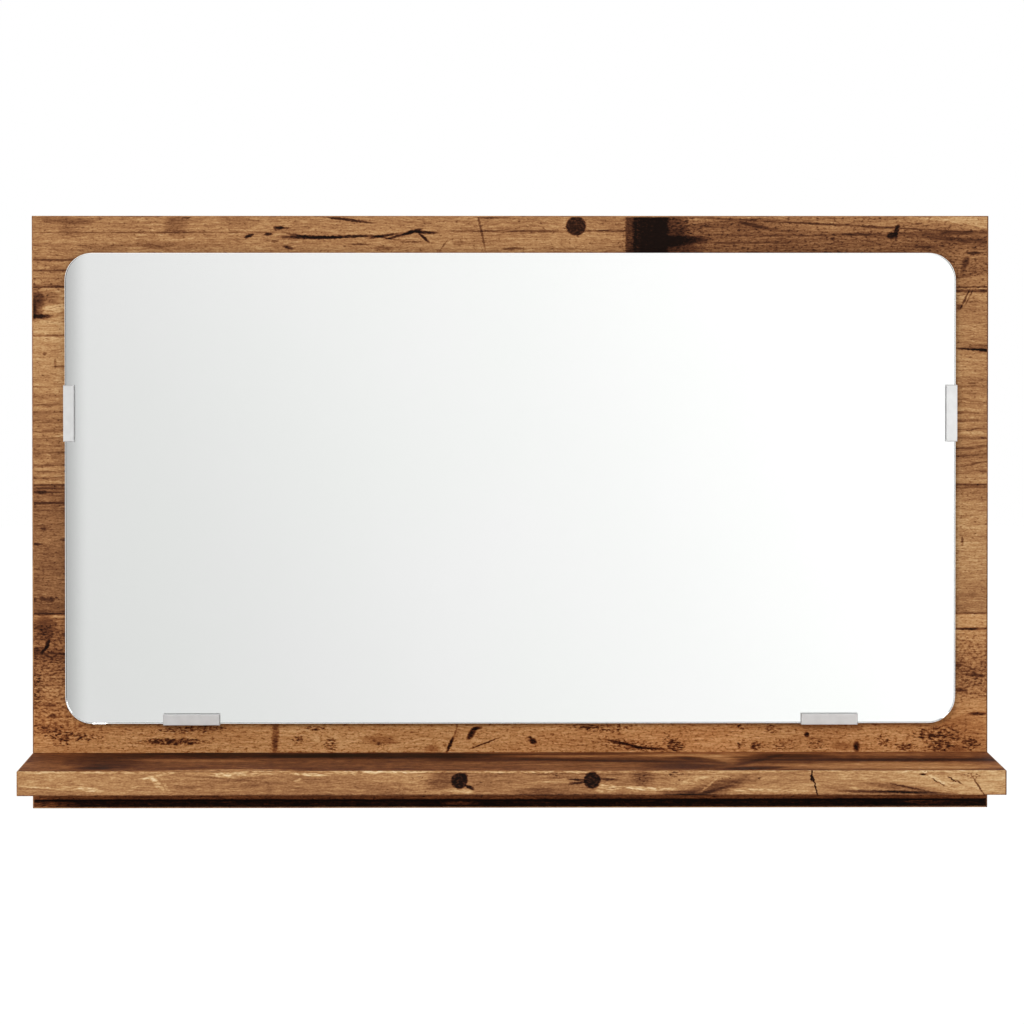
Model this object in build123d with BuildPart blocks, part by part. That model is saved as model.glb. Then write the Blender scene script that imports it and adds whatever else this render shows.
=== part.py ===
"""Wall mirror with a shelf: a wood-decor board carries a rounded mirror in four clips and a ledge below it.

Millimetres. +X is right, +Z is up, and the front faces -Y. The wall is the plane Y = 0, and the origin
is the centre of the board's back face, where it lies on the wall.
"""

import os

from build123d import *

# Board: faced chipboard with a glued band on each edge
BOARD_WIDTH = 600.0
BOARD_HEIGHT = 372.0
BOARD_THICKNESS = 15.0
BAND_THICKNESS = 0.8
BAND_EDGE_BREAK = 0.3

# Shelf: the same board, joined by its rear edge to the front of the back board
SHELF_DEPTH = 95.0
SHELF_THICKNESS = 15.0
SHELF_RISE = 20.0  # from the board's lower edge to the shelf's underside

# Mirror pane, held in four clips and free to lift
MIRROR_SIDE_MARGIN = 21.0
MIRROR_TOP_MARGIN = 23.25
MIRROR_RISE = 18.75  # from the shelf's top to the pane's lower edge
MIRROR_CORNER_RADIUS = 17.0
GLASS_THICKNESS = 3.0
GLASS_EDGE_BREAK = 0.35
COATING_THICKNESS = 0.2

# Mirror clips: a J profile whose flange is screwed to the board behind the pane
CLIP_LENGTH = 35.5
CLIP_LIP_WIDTH = 7.0
CLIP_LIP_THICKNESS = 1.3
CLIP_LIP_BEVEL_WIDTH = 1.1
CLIP_LIP_BEVEL_DEPTH = 0.5
CLIP_WALL = 0.8
CLIP_FLANGE_WIDTH = 14.5
CLIP_FLANGE_THICKNESS = 1.6
CLIP_FLANGE_CORNER = 3.0
CLIP_CLEARANCE = 0.15  # round the pane, inside the channel
CLIP_CORNER_ROUND = 0.35
CLIP_SCREW_PITCH = 20.0
CLIP_SCREW_INSET = 10.4  # from the clip's outer face to the screws
SIDE_CLIP_HEIGHT = 194.5  # from the pane's lower edge to a side clip's middle
BOTTOM_CLIP_INSET = 79.0  # from the pane's side to a bottom clip's middle

# Countersunk screws
CLIP_SCREW_RADIUS = 1.5
CLIP_SCREW_HEAD_RADIUS = 2.7
CLIP_SCREW_LENGTH = 10.0
HANGER_SCREW_RADIUS = 1.75
HANGER_SCREW_HEAD_RADIUS = 2.9
HANGER_SCREW_LENGTH = 12.0
SCREW_SINK = 0.1  # how far a head lies below the face round it
SCREW_CLEARANCE = 0.05  # round a shank in its pilot hole
SCREW_SEAT_CLEARANCE = 0.15  # round a shank in the piece that it holds
PILOT_SPARE_DEPTH = 0.5
DRIVE_SLOT_WIDTH = 0.7
DRIVE_SLOT_SHARE = 0.62  # of the head's diameter
DRIVE_SLOT_DEPTH = 0.9

# Keyhole hanger plates, sunk flush into the back
HANGER_INSET = 60.0  # from the board's side to the keyhole
HANGER_DROP = 50.0  # from the board's upper edge to the round entry
HANGER_PLATE_LENGTH = 50.0
HANGER_PLATE_WIDTH = 18.0
HANGER_PLATE_THICKNESS = 1.5
HANGER_RECESS_CLEARANCE = 0.2
HANGER_SCREW_PITCH = 38.0
KEYHOLE_ENTRY_RADIUS = 4.5
KEYHOLE_SLOT_WIDTH = 4.6
KEYHOLE_TRAVEL = 9.0  # from the round entry up to the seat
POCKET_WIDTH = 13.0
POCKET_DEPTH = 6.0  # behind the plate, for the wall screw's head

# Cam fittings: a headed bolt in the board, gripped by an eccentric in the shelf
CAM_INSET = 70.0  # from the shelf's end to an outer cam's axis
CAM_SETBACK = 34.0  # from the shelf's rear edge to a cam's axis
CAM_RADIUS = 7.2
CAM_BORE_CLEARANCE = 0.3
CAM_BORE_COVER = 2.3  # wood left between a cam bore and the shelf's top
CAM_BORE_SPARE_DEPTH = 0.4
CAM_EDGE_BREAK = 0.4
CAM_THROW = 0.6  # from the cam's axis to the middle of its hollow
CAM_HOLLOW_ROOM = 1.5  # round the bolt's head, where its middle meets the hollow's
CAM_TURN = 190.0  # from locked to open, in degrees
CAM_SLOT_LEAD = 40.0  # how far the neck's slot runs past the locked place, in degrees
CAM_DRIVE_LENGTH = 8.0
CAM_DRIVE_WIDTH = 1.3
CAM_DRIVE_DEPTH = 2.4
CAM_ARROW_SIZE = 1.1
CAM_ARROW_INSET = 1.8  # from the cam's rim to the middle of the arrow
CAM_ARROW_DEPTH = 0.4
BOLT_THREAD_RADIUS = 2.5
BOLT_THREAD_LENGTH = 11.0
BOLT_COLLAR_RADIUS = 3.7
BOLT_COLLAR_LENGTH = 2.5
BOLT_SHANK_RADIUS = 2.9
BOLT_NECK_RADIUS = 1.65
BOLT_NECK_LEAD = 3.0  # how far the neck runs out of the cam
BOLT_HEAD_RADIUS = 3.5
BOLT_HEAD_TAPER = 2.3  # how long the head's cone is, from the neck to the full radius
BOLT_HEAD_BAND = 2.4  # how long the head is past its cone
BOLT_HEAD_LEAD = 4.3  # from the start of the head's cone to the cam's axis
BOLT_BORE_CLEARANCE = 0.3
HEAD_CLEARANCE = 0.4  # above and below the head in the hollow
HEAD_ENTRY_CLEARANCE = 0.25
NECK_SLOT_CLEARANCE = 0.3

# Fluted dowels between the cam fittings
DOWEL_RADIUS = 4.0
DOWEL_LENGTH = 30.0
DOWEL_IN_BOARD = 10.0
DOWEL_CLEARANCE = 0.1
DOWEL_CHAMFER = 1.0
DOWEL_FLUTES = 12
DOWEL_FLUTE_WIDTH = 0.85

# Places worked out from the sizes above
BOARD_TOP = BOARD_HEIGHT / 2
BOARD_BOTTOM = -BOARD_HEIGHT / 2
CORE_WIDTH = BOARD_WIDTH - 2 * BAND_THICKNESS
CORE_HEIGHT = BOARD_HEIGHT - 2 * BAND_THICKNESS
SHELF_BOTTOM = BOARD_BOTTOM + SHELF_RISE
SHELF_TOP = SHELF_BOTTOM + SHELF_THICKNESS
SHELF_FRONT = -BOARD_THICKNESS - SHELF_DEPTH
JOINT_HEIGHT = SHELF_BOTTOM + SHELF_THICKNESS / 2
MIRROR_WIDTH = BOARD_WIDTH - 2 * MIRROR_SIDE_MARGIN
MIRROR_BOTTOM = SHELF_TOP + MIRROR_RISE
MIRROR_HEIGHT = BOARD_TOP - MIRROR_TOP_MARGIN - MIRROR_BOTTOM
MIRROR_MIDDLE = MIRROR_BOTTOM + MIRROR_HEIGHT / 2
MIRROR_BACK = BOARD_THICKNESS + CLIP_FLANGE_THICKNESS + CLIP_CLEARANCE  # distance from the wall
MIRROR_GLASS_BACK = MIRROR_BACK + COATING_THICKNESS
CHANNEL_DEPTH = 2 * CLIP_CLEARANCE + COATING_THICKNESS + GLASS_THICKNESS
BOTTOM_CLIP_OFFSET = MIRROR_WIDTH / 2 - BOTTOM_CLIP_INSET
HANGER_OFFSET = BOARD_WIDTH / 2 - HANGER_INSET
HANGER_ENTRY_HEIGHT = BOARD_TOP - HANGER_DROP
HANGER_PLATE_MIDDLE = HANGER_ENTRY_HEIGHT + KEYHOLE_TRAVEL / 2
CAM_AXIS_Y = -BOARD_THICKNESS - CAM_SETBACK
CAM_PITCH = BOARD_WIDTH / 2 - CAM_INSET
CAM_PLACES = {"left": -CAM_PITCH, "centre": 0.0, "right": CAM_PITCH}
DOWEL_OFFSET = CAM_PITCH / 2  # midway between two cams
SIDES = {"left": -1, "right": 1}

# Working planes: each one's Z axis points out of the face that it lies on
FRONT_FACE = Plane.XZ.offset(BOARD_THICKNESS)
SHELF_REAR_FACE = Plane(origin=(0, -BOARD_THICKNESS, JOINT_HEIGHT), x_dir=(1, 0, 0), z_dir=(0, 1, 0))
SHELF_UNDERSIDE = Plane(origin=(0, 0, SHELF_BOTTOM), x_dir=(1, 0, 0), z_dir=(0, 0, -1))

# The clips' planes: X points in over the pane, Y to the front, and Z along the pane's edge
CLIP_PLANES = {
    "left": Plane(
        origin=(-MIRROR_WIDTH / 2, -BOARD_THICKNESS, MIRROR_BOTTOM + SIDE_CLIP_HEIGHT),
        x_dir=(1, 0, 0),
        z_dir=(0, 0, -1),
    ),
    "right": Plane(
        origin=(MIRROR_WIDTH / 2, -BOARD_THICKNESS, MIRROR_BOTTOM + SIDE_CLIP_HEIGHT),
        x_dir=(-1, 0, 0),
        z_dir=(0, 0, 1),
    ),
    "bottom_left": Plane(
        origin=(-BOTTOM_CLIP_OFFSET, -BOARD_THICKNESS, MIRROR_BOTTOM),
        x_dir=(0, 0, 1),
        z_dir=(1, 0, 0),
    ),
    "bottom_right": Plane(
        origin=(BOTTOM_CLIP_OFFSET, -BOARD_THICKNESS, MIRROR_BOTTOM),
        x_dir=(0, 0, 1),
        z_dir=(1, 0, 0),
    ),
}
CLIP_OUTER = -CLIP_CLEARANCE - CLIP_WALL


def clip_screw_planes(clip_plane):
    """The two places on a clip's flange where its screws sit, facing the front."""
    flange = Plane(
        origin=clip_plane.from_local_coords((CLIP_OUTER + CLIP_SCREW_INSET, CLIP_FLANGE_THICKNESS, 0)),
        x_dir=clip_plane.z_dir,
        z_dir=clip_plane.y_dir,
    )
    return [
        Plane(flange.from_local_coords(Vector(step, 0, 0)), flange.x_dir, flange.z_dir)
        for step in (-CLIP_SCREW_PITCH / 2, CLIP_SCREW_PITCH / 2)
    ]


def hanger_screw_planes(side):
    """The two places on a hanger plate where its screws sit, facing the wall."""
    return [
        Plane(
            origin=(SIDES[side] * HANGER_OFFSET, 0, HANGER_PLATE_MIDDLE + step),
            x_dir=(1, 0, 0),
            z_dir=(0, 1, 0),
        )
        for step in (-HANGER_SCREW_PITCH / 2, HANGER_SCREW_PITCH / 2)
    ]


def write(piece, name):
    """Labels a finished piece and writes it as parts/NAME.step."""
    piece.part.label = name
    export_step(piece.part, f"parts/{name}.step")


def outer_edges(piece, face_axis, largest):
    """The edges of the piece's outermost face along an axis."""
    faces = piece.faces().sort_by(face_axis)
    return (faces[-1] if largest else faces[0]).edges()


def build_back_board():
    """The board: bolt and dowel holes and clip pilots in front, keyhole pockets and hanger pilots behind."""
    with BuildPart() as back_board:
        with BuildSketch(Plane.XZ):
            Rectangle(CORE_WIDTH, CORE_HEIGHT)
        extrude(amount=BOARD_THICKNESS)
        with Locations(FRONT_FACE):
            with Locations(*[(x, JOINT_HEIGHT) for x in CAM_PLACES.values()]):
                Hole(BOLT_THREAD_RADIUS + SCREW_CLEARANCE, BOLT_THREAD_LENGTH + PILOT_SPARE_DEPTH)
            with Locations(*[(sign * DOWEL_OFFSET, JOINT_HEIGHT) for sign in SIDES.values()]):
                Hole(DOWEL_RADIUS + DOWEL_CLEARANCE, DOWEL_IN_BOARD + PILOT_SPARE_DEPTH)
        for clip_plane in CLIP_PLANES.values():
            for screw_plane in clip_screw_planes(clip_plane):
                with Locations(screw_plane.offset(-CLIP_FLANGE_THICKNESS)):
                    Hole(
                        CLIP_SCREW_RADIUS + SCREW_CLEARANCE,
                        CLIP_SCREW_LENGTH - CLIP_FLANGE_THICKNESS + PILOT_SPARE_DEPTH,
                    )
        for side, sign in SIDES.items():
            with BuildSketch(Plane.XZ):
                with Locations((sign * HANGER_OFFSET, HANGER_PLATE_MIDDLE)):
                    SlotOverall(
                        HANGER_PLATE_LENGTH + 2 * HANGER_RECESS_CLEARANCE,
                        HANGER_PLATE_WIDTH + 2 * HANGER_RECESS_CLEARANCE,
                        rotation=90,
                    )
            extrude(amount=HANGER_PLATE_THICKNESS, mode=Mode.SUBTRACT)
            with BuildSketch(Plane.XZ):
                with Locations((sign * HANGER_OFFSET, HANGER_PLATE_MIDDLE)):
                    SlotCenterToCenter(KEYHOLE_TRAVEL, POCKET_WIDTH, rotation=90)
            extrude(amount=HANGER_PLATE_THICKNESS + POCKET_DEPTH, mode=Mode.SUBTRACT)
            for screw_plane in hanger_screw_planes(side):
                with Locations(screw_plane):
                    Hole(HANGER_SCREW_RADIUS + SCREW_CLEARANCE, HANGER_SCREW_LENGTH + PILOT_SPARE_DEPTH)
    write(back_board, "back_board")


def build_board_bands():
    """Four glued bands: the side ones run full height, with the other two between them."""
    for side, sign in SIDES.items():
        with BuildPart() as side_band:
            with BuildSketch(Plane.XZ):
                with Locations((sign * (BOARD_WIDTH - BAND_THICKNESS) / 2, 0)):
                    Rectangle(BAND_THICKNESS, BOARD_HEIGHT)
            extrude(amount=BOARD_THICKNESS)
            chamfer(outer_edges(side_band, Axis.X, sign > 0), BAND_EDGE_BREAK)
        write(side_band, f"board_edge_band_{side}")
    for name, sign in {"top": 1, "bottom": -1}.items():
        with BuildPart() as level_band:
            with BuildSketch(Plane.XZ):
                with Locations((0, sign * (BOARD_HEIGHT - BAND_THICKNESS) / 2)):
                    Rectangle(CORE_WIDTH, BAND_THICKNESS)
            extrude(amount=BOARD_THICKNESS)
            long_edges = outer_edges(level_band, Axis.Z, sign > 0).filter_by(Axis.X)
            chamfer(long_edges, BAND_EDGE_BREAK)
        write(level_band, f"board_edge_band_{name}")


def build_shelf_board():
    """The shelf: bolt and dowel bores in its rear edge, and blind cam bores in its underside."""
    core_depth = SHELF_DEPTH - BAND_THICKNESS
    with BuildPart() as shelf_board:
        with BuildSketch(Plane.XY.offset(SHELF_BOTTOM)):
            with Locations((0, -BOARD_THICKNESS - core_depth / 2)):
                Rectangle(CORE_WIDTH, core_depth)
        extrude(amount=SHELF_THICKNESS)
        with Locations(SHELF_REAR_FACE):
            with Locations(*[(x, 0) for x in CAM_PLACES.values()]):
                Hole(BOLT_COLLAR_RADIUS + BOLT_BORE_CLEARANCE, CAM_SETBACK)
            with Locations(*[(sign * DOWEL_OFFSET, 0) for sign in SIDES.values()]):
                Hole(DOWEL_RADIUS + DOWEL_CLEARANCE, DOWEL_LENGTH - DOWEL_IN_BOARD + PILOT_SPARE_DEPTH)
        with Locations(SHELF_UNDERSIDE):
            with Locations(*[(x, -CAM_AXIS_Y) for x in CAM_PLACES.values()]):
                Hole(CAM_RADIUS + CAM_BORE_CLEARANCE, SHELF_THICKNESS - CAM_BORE_COVER)
    write(shelf_board, "shelf_board")


def build_shelf_bands():
    """Three glued bands: the side ones run to the front, with the front one between them."""
    shelf_middle = -BOARD_THICKNESS - SHELF_DEPTH / 2
    for side, sign in SIDES.items():
        with BuildPart() as side_band:
            with BuildSketch(Plane.XY.offset(SHELF_BOTTOM)):
                with Locations((sign * (BOARD_WIDTH - BAND_THICKNESS) / 2, shelf_middle)):
                    Rectangle(BAND_THICKNESS, SHELF_DEPTH)
            extrude(amount=SHELF_THICKNESS)
            rim = outer_edges(side_band, Axis.X, sign > 0)
            chamfer(rim.sort_by(Axis.Y)[:-1], BAND_EDGE_BREAK)
        write(side_band, f"shelf_edge_band_{side}")
    with BuildPart() as front_band:
        with BuildSketch(Plane.XY.offset(SHELF_BOTTOM)):
            with Locations((0, SHELF_FRONT + BAND_THICKNESS / 2)):
                Rectangle(CORE_WIDTH, BAND_THICKNESS)
        extrude(amount=SHELF_THICKNESS)
        chamfer(outer_edges(front_band, Axis.Y, False).filter_by(Axis.X), BAND_EDGE_BREAK)
    write(front_band, "shelf_edge_band_front")


def build_mirror():
    """The glass pane with seamed edges, and the silvering and paint on its back."""
    with BuildPart() as mirror_glass:
        with BuildSketch(Plane.XZ.offset(MIRROR_GLASS_BACK)):
            with Locations((0, MIRROR_MIDDLE)):
                RectangleRounded(MIRROR_WIDTH, MIRROR_HEIGHT, MIRROR_CORNER_RADIUS)
        extrude(amount=GLASS_THICKNESS)
        chamfer(outer_edges(mirror_glass, Axis.Y, False), GLASS_EDGE_BREAK)
    write(mirror_glass, "mirror_glass")
    with BuildPart() as mirror_coating:
        with BuildSketch(Plane.XZ.offset(MIRROR_BACK)):
            with Locations((0, MIRROR_MIDDLE)):
                RectangleRounded(MIRROR_WIDTH, MIRROR_HEIGHT, MIRROR_CORNER_RADIUS)
        extrude(amount=COATING_THICKNESS)
    write(mirror_coating, "mirror_coating")


def build_clip(name, clip_plane):
    """One J-shaped clip: flange behind the pane, thin wall past its edge, bevelled lip over its face."""
    lip_under = CLIP_FLANGE_THICKNESS + CHANNEL_DEPTH
    lip_top = lip_under + CLIP_LIP_THICKNESS
    lip_end = CLIP_OUTER + CLIP_LIP_WIDTH
    flange_end = CLIP_OUTER + CLIP_FLANGE_WIDTH
    with BuildPart() as clip:
        with BuildSketch(clip_plane):
            with BuildLine():
                Polyline(
                    (CLIP_OUTER, 0),
                    (flange_end, 0),
                    (flange_end, CLIP_FLANGE_THICKNESS),
                    (-CLIP_CLEARANCE, CLIP_FLANGE_THICKNESS),
                    (-CLIP_CLEARANCE, lip_under),
                    (lip_end, lip_under),
                    (lip_end, lip_top),
                    (CLIP_OUTER, lip_top),
                    close=True,
                )
            make_face()
        extrude(amount=CLIP_LENGTH / 2, both=True)
        forward = Axis(clip_plane.origin, clip_plane.y_dir)
        inward = Axis(clip_plane.origin, clip_plane.x_dir)
        along = Axis(clip_plane.origin, clip_plane.z_dir)
        lip_face = clip.faces().sort_by(forward)[-1]
        lip_rim = lip_face.edges().sort_by(inward)[1:]
        chamfer(lip_rim, CLIP_LIP_BEVEL_DEPTH, CLIP_LIP_BEVEL_WIDTH, reference=lip_face)
        lip_back_edge = clip.edges().filter_by(along).group_by(forward)[-1].sort_by(inward)[0]
        fillet(lip_back_edge, CLIP_CORNER_ROUND)
        flange_corners = clip.edges().filter_by(forward).group_by(inward)[-1]
        fillet(flange_corners, CLIP_FLANGE_CORNER)
        with Locations(*clip_screw_planes(clip_plane)):
            CounterSinkHole(
                CLIP_SCREW_RADIUS + SCREW_SEAT_CLEARANCE,
                CLIP_SCREW_HEAD_RADIUS + SCREW_SINK + SCREW_CLEARANCE,
                CLIP_FLANGE_THICKNESS,
                90,
            )
    write(clip, f"mirror_clip_{name}")


def build_screw(name, face_plane, shank_radius, head_radius, length):
    """One countersunk screw, its head just below the face that face_plane lies on."""
    axis = Axis(face_plane.origin, face_plane.z_dir)
    side_plane = Plane(face_plane.origin, face_plane.x_dir, -face_plane.y_dir)
    with BuildPart() as screw:
        with BuildSketch(side_plane):
            with BuildLine():
                Polyline(
                    (0, -SCREW_SINK),
                    (head_radius, -SCREW_SINK),
                    (shank_radius, -SCREW_SINK - (head_radius - shank_radius)),
                    (shank_radius, -length),
                    (0, -length),
                    close=True,
                )
            make_face()
        revolve(axis=axis)
        with BuildSketch(face_plane.offset(-SCREW_SINK)):
            Rectangle(2 * head_radius * DRIVE_SLOT_SHARE, DRIVE_SLOT_WIDTH, rotation=45)
            Rectangle(2 * head_radius * DRIVE_SLOT_SHARE, DRIVE_SLOT_WIDTH, rotation=-45)
        extrude(amount=-DRIVE_SLOT_DEPTH, mode=Mode.SUBTRACT)
    write(screw, name)


def build_hanger_plate(side):
    """One keyhole plate: a round entry for the wall screw's head, and a slot above it for the shank."""
    x = SIDES[side] * HANGER_OFFSET
    with BuildPart() as hanger_plate:
        with BuildSketch(Plane.XZ):
            with Locations((x, HANGER_PLATE_MIDDLE)):
                SlotOverall(HANGER_PLATE_LENGTH, HANGER_PLATE_WIDTH, rotation=90)
            with Locations((x, HANGER_ENTRY_HEIGHT)):
                Circle(KEYHOLE_ENTRY_RADIUS, mode=Mode.SUBTRACT)
            with Locations((x, HANGER_PLATE_MIDDLE)):
                SlotCenterToCenter(KEYHOLE_TRAVEL, KEYHOLE_SLOT_WIDTH, rotation=90, mode=Mode.SUBTRACT)
        extrude(amount=HANGER_PLATE_THICKNESS)
        with Locations(*hanger_screw_planes(side)):
            CounterSinkHole(
                HANGER_SCREW_RADIUS + SCREW_SEAT_CLEARANCE,
                HANGER_SCREW_HEAD_RADIUS + SCREW_SINK + SCREW_CLEARANCE,
                HANGER_PLATE_THICKNESS,
                90,
            )
    write(hanger_plate, f"hanger_plate_{side}")


def build_cam(name, x):
    """One cam, shown locked: an eccentric hollow grips the bolt's head, and a slot round it clears the neck.

    The slot runs from the bolt's side through CAM_TURN degrees to a round entry for the head. Turned back
    by that much, the cam lets the head out.
    """
    axis_place = (x, CAM_AXIS_Y)
    reach = CAM_RADIUS + CAM_BORE_CLEARANCE
    entry_direction = Vector(0, 1, 0).rotate(Axis.Z, CAM_TURN)
    with BuildPart() as cam:
        with BuildSketch(Plane.XY.offset(SHELF_BOTTOM)):
            with Locations(axis_place):
                Circle(CAM_RADIUS)
        extrude(amount=SHELF_THICKNESS - CAM_BORE_COVER - CAM_BORE_SPARE_DEPTH)
        chamfer(cam.edges().filter_by(GeomType.CIRCLE).sort_by(Axis.Z)[0], CAM_EDGE_BREAK)
        with BuildSketch(Plane.XY.offset(JOINT_HEIGHT)):
            with Locations((x, CAM_AXIS_Y - CAM_THROW)):
                Circle(BOLT_HEAD_RADIUS + CAM_HOLLOW_ROOM)
        extrude(amount=BOLT_HEAD_RADIUS + HEAD_CLEARANCE, both=True, mode=Mode.SUBTRACT)
        with BuildSketch(Plane.XY.offset(JOINT_HEIGHT)):
            with BuildLine():
                sweep_arc = CenterArc(axis_place, reach, 90 - CAM_SLOT_LEAD, CAM_SLOT_LEAD + CAM_TURN)
                Line(axis_place, sweep_arc @ 0)
                Line(sweep_arc @ 1, axis_place)
            make_face()
        extrude(amount=BOLT_NECK_RADIUS + NECK_SLOT_CLEARANCE, both=True, mode=Mode.SUBTRACT)
        with BuildSketch(Plane((x, CAM_AXIS_Y, JOINT_HEIGHT), z_dir=entry_direction)):
            Circle(BOLT_HEAD_RADIUS + HEAD_ENTRY_CLEARANCE)
        extrude(amount=reach, mode=Mode.SUBTRACT)
        with BuildSketch(Plane.XY.offset(SHELF_BOTTOM)):
            with Locations(axis_place):
                Rectangle(CAM_DRIVE_LENGTH, CAM_DRIVE_WIDTH)
                Rectangle(CAM_DRIVE_WIDTH, CAM_DRIVE_LENGTH)
        extrude(amount=CAM_DRIVE_DEPTH, mode=Mode.SUBTRACT)
        with BuildSketch(Plane.XY.offset(SHELF_BOTTOM)):
            with Locations(Location(axis_place, 90 + CAM_TURN)):
                with Locations((CAM_RADIUS - CAM_ARROW_INSET, 0)):
                    RegularPolygon(CAM_ARROW_SIZE, 3)
        extrude(amount=CAM_ARROW_DEPTH, mode=Mode.SUBTRACT)
    write(cam, f"cam_lock_{name}")


def build_cam_bolt(name, x):
    """One cam bolt, turned about its axis: thread in the board, collar on its face, neck and flared head."""
    foot = (x, -BOARD_THICKNESS, JOINT_HEIGHT)
    side_plane = Plane(foot, x_dir=(0, -1, 0), z_dir=(1, 0, 0))
    neck_start = CAM_SETBACK - CAM_RADIUS - BOLT_NECK_LEAD
    neck_end = CAM_SETBACK - BOLT_HEAD_LEAD
    head_end = neck_end + BOLT_HEAD_TAPER + BOLT_HEAD_BAND
    with BuildPart() as bolt:
        with BuildSketch(side_plane):
            with BuildLine():
                Polyline(
                    (-BOLT_THREAD_LENGTH, 0),
                    (-BOLT_THREAD_LENGTH, BOLT_THREAD_RADIUS),
                    (0, BOLT_THREAD_RADIUS),
                    (0, BOLT_COLLAR_RADIUS),
                    (BOLT_COLLAR_LENGTH, BOLT_COLLAR_RADIUS),
                    (BOLT_COLLAR_LENGTH, BOLT_SHANK_RADIUS),
                    (neck_start - (BOLT_SHANK_RADIUS - BOLT_NECK_RADIUS), BOLT_SHANK_RADIUS),
                    (neck_start, BOLT_NECK_RADIUS),
                    (neck_end, BOLT_NECK_RADIUS),
                    (neck_end + BOLT_HEAD_TAPER, BOLT_HEAD_RADIUS),
                    (head_end, BOLT_HEAD_RADIUS),
                    (head_end, 0),
                    close=True,
                )
            make_face()
        revolve(axis=Axis(foot, (0, -1, 0)))
    write(bolt, f"cam_bolt_{name}")


def build_dowel(side):
    """One fluted beech dowel, part in the board and part in the shelf."""
    rear = Plane(
        origin=(SIDES[side] * DOWEL_OFFSET, DOWEL_IN_BOARD - BOARD_THICKNESS, JOINT_HEIGHT),
        x_dir=(1, 0, 0),
        z_dir=(0, -1, 0),
    )
    with BuildPart() as dowel:
        with BuildSketch(rear):
            Circle(DOWEL_RADIUS)
        extrude(amount=DOWEL_LENGTH)
        chamfer(dowel.edges().filter_by(GeomType.CIRCLE), DOWEL_CHAMFER)
        with BuildSketch(rear):
            with PolarLocations(DOWEL_RADIUS, DOWEL_FLUTES):
                RegularPolygon(DOWEL_FLUTE_WIDTH / 2, 4)
        extrude(amount=DOWEL_LENGTH, mode=Mode.SUBTRACT)
    write(dowel, f"dowel_{side}")


os.makedirs("parts", exist_ok=True)
build_back_board()
build_board_bands()
build_shelf_board()
build_shelf_bands()
build_mirror()
for clip_name, plane in CLIP_PLANES.items():
    build_clip(clip_name, plane)
    for number, screw_plane in enumerate(clip_screw_planes(plane), start=1):
        build_screw(
            f"clip_screw_{clip_name}_{number}",
            screw_plane,
            CLIP_SCREW_RADIUS,
            CLIP_SCREW_HEAD_RADIUS,
            CLIP_SCREW_LENGTH,
        )
for cam_name, cam_x in CAM_PLACES.items():
    build_cam(cam_name, cam_x)
    build_cam_bolt(cam_name, cam_x)
for side_name in SIDES:
    build_dowel(side_name)
    build_hanger_plate(side_name)
    for number, screw_plane in enumerate(hanger_screw_planes(side_name), start=1):
        build_screw(
            f"hanger_screw_{side_name}_{number}",
            screw_plane,
            HANGER_SCREW_RADIUS,
            HANGER_SCREW_HEAD_RADIUS,
            HANGER_SCREW_LENGTH,
        )
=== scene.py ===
"""Looks of a wall mirror with a shelf: a wood-decor board, a rounded pane in four clips and a ledge.

Metres. +X is right, +Z is up, the front faces -Y, and the wall is the plane Y = 0. The decor's own sizes
are in millimetres, measured to the right and down from a sheet's upper left corner.
"""

import math

import bpy
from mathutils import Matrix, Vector


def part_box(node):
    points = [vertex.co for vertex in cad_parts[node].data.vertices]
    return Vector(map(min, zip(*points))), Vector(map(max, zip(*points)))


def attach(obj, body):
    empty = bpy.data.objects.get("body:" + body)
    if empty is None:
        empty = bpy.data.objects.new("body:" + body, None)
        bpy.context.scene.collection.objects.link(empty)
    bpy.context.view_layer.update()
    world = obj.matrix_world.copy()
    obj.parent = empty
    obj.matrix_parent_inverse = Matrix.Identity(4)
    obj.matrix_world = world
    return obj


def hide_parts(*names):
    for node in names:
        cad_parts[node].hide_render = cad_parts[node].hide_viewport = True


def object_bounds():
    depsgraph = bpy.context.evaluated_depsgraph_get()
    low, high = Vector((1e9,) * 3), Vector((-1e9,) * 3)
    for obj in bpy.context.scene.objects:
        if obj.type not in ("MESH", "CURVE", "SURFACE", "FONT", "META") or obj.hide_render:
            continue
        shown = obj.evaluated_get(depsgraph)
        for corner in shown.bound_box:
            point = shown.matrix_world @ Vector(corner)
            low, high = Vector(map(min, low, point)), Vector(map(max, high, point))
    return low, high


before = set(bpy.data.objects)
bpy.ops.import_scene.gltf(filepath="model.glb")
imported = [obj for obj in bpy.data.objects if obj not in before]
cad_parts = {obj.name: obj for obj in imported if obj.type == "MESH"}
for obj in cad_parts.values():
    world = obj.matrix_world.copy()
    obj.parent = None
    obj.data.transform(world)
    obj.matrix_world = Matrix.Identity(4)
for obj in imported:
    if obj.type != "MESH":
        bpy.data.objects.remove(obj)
CAD_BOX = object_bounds()

MM = 0.001

# Camera: fitted to the board's, the pane's and the shelf's corners in the photograph
CAMERA_PLACE = (-0.0261, -2.649, 0.1629)
CAMERA_TURN = 0.5864  # degrees to the right
CAMERA_DIP = 1.023  # degrees down
CAMERA_LENS = 147.643  # millimetres, on a 36 mm sensor
CAMERA_SHIFT = -0.18

# Studio
FLOOR_HEIGHT = -0.60
FLOOR_HALF_SIZE = 9.0
FLOOR_WHITENESS = 0.86  # how much of the floor's look is plain white, the rest is lit and takes shadow
FLOOR_GLOW = 1.12
AMBIENT = 0.60
KEY_PLACE = (-0.95, -2.6, 1.25)
KEY_SIZE = 1.0
KEY_POWER = 27.0
FILL_PLACE = (1.9, -2.9, 0.7)
FILL_SIZE = 1.4
FILL_POWER = 10.0

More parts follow.
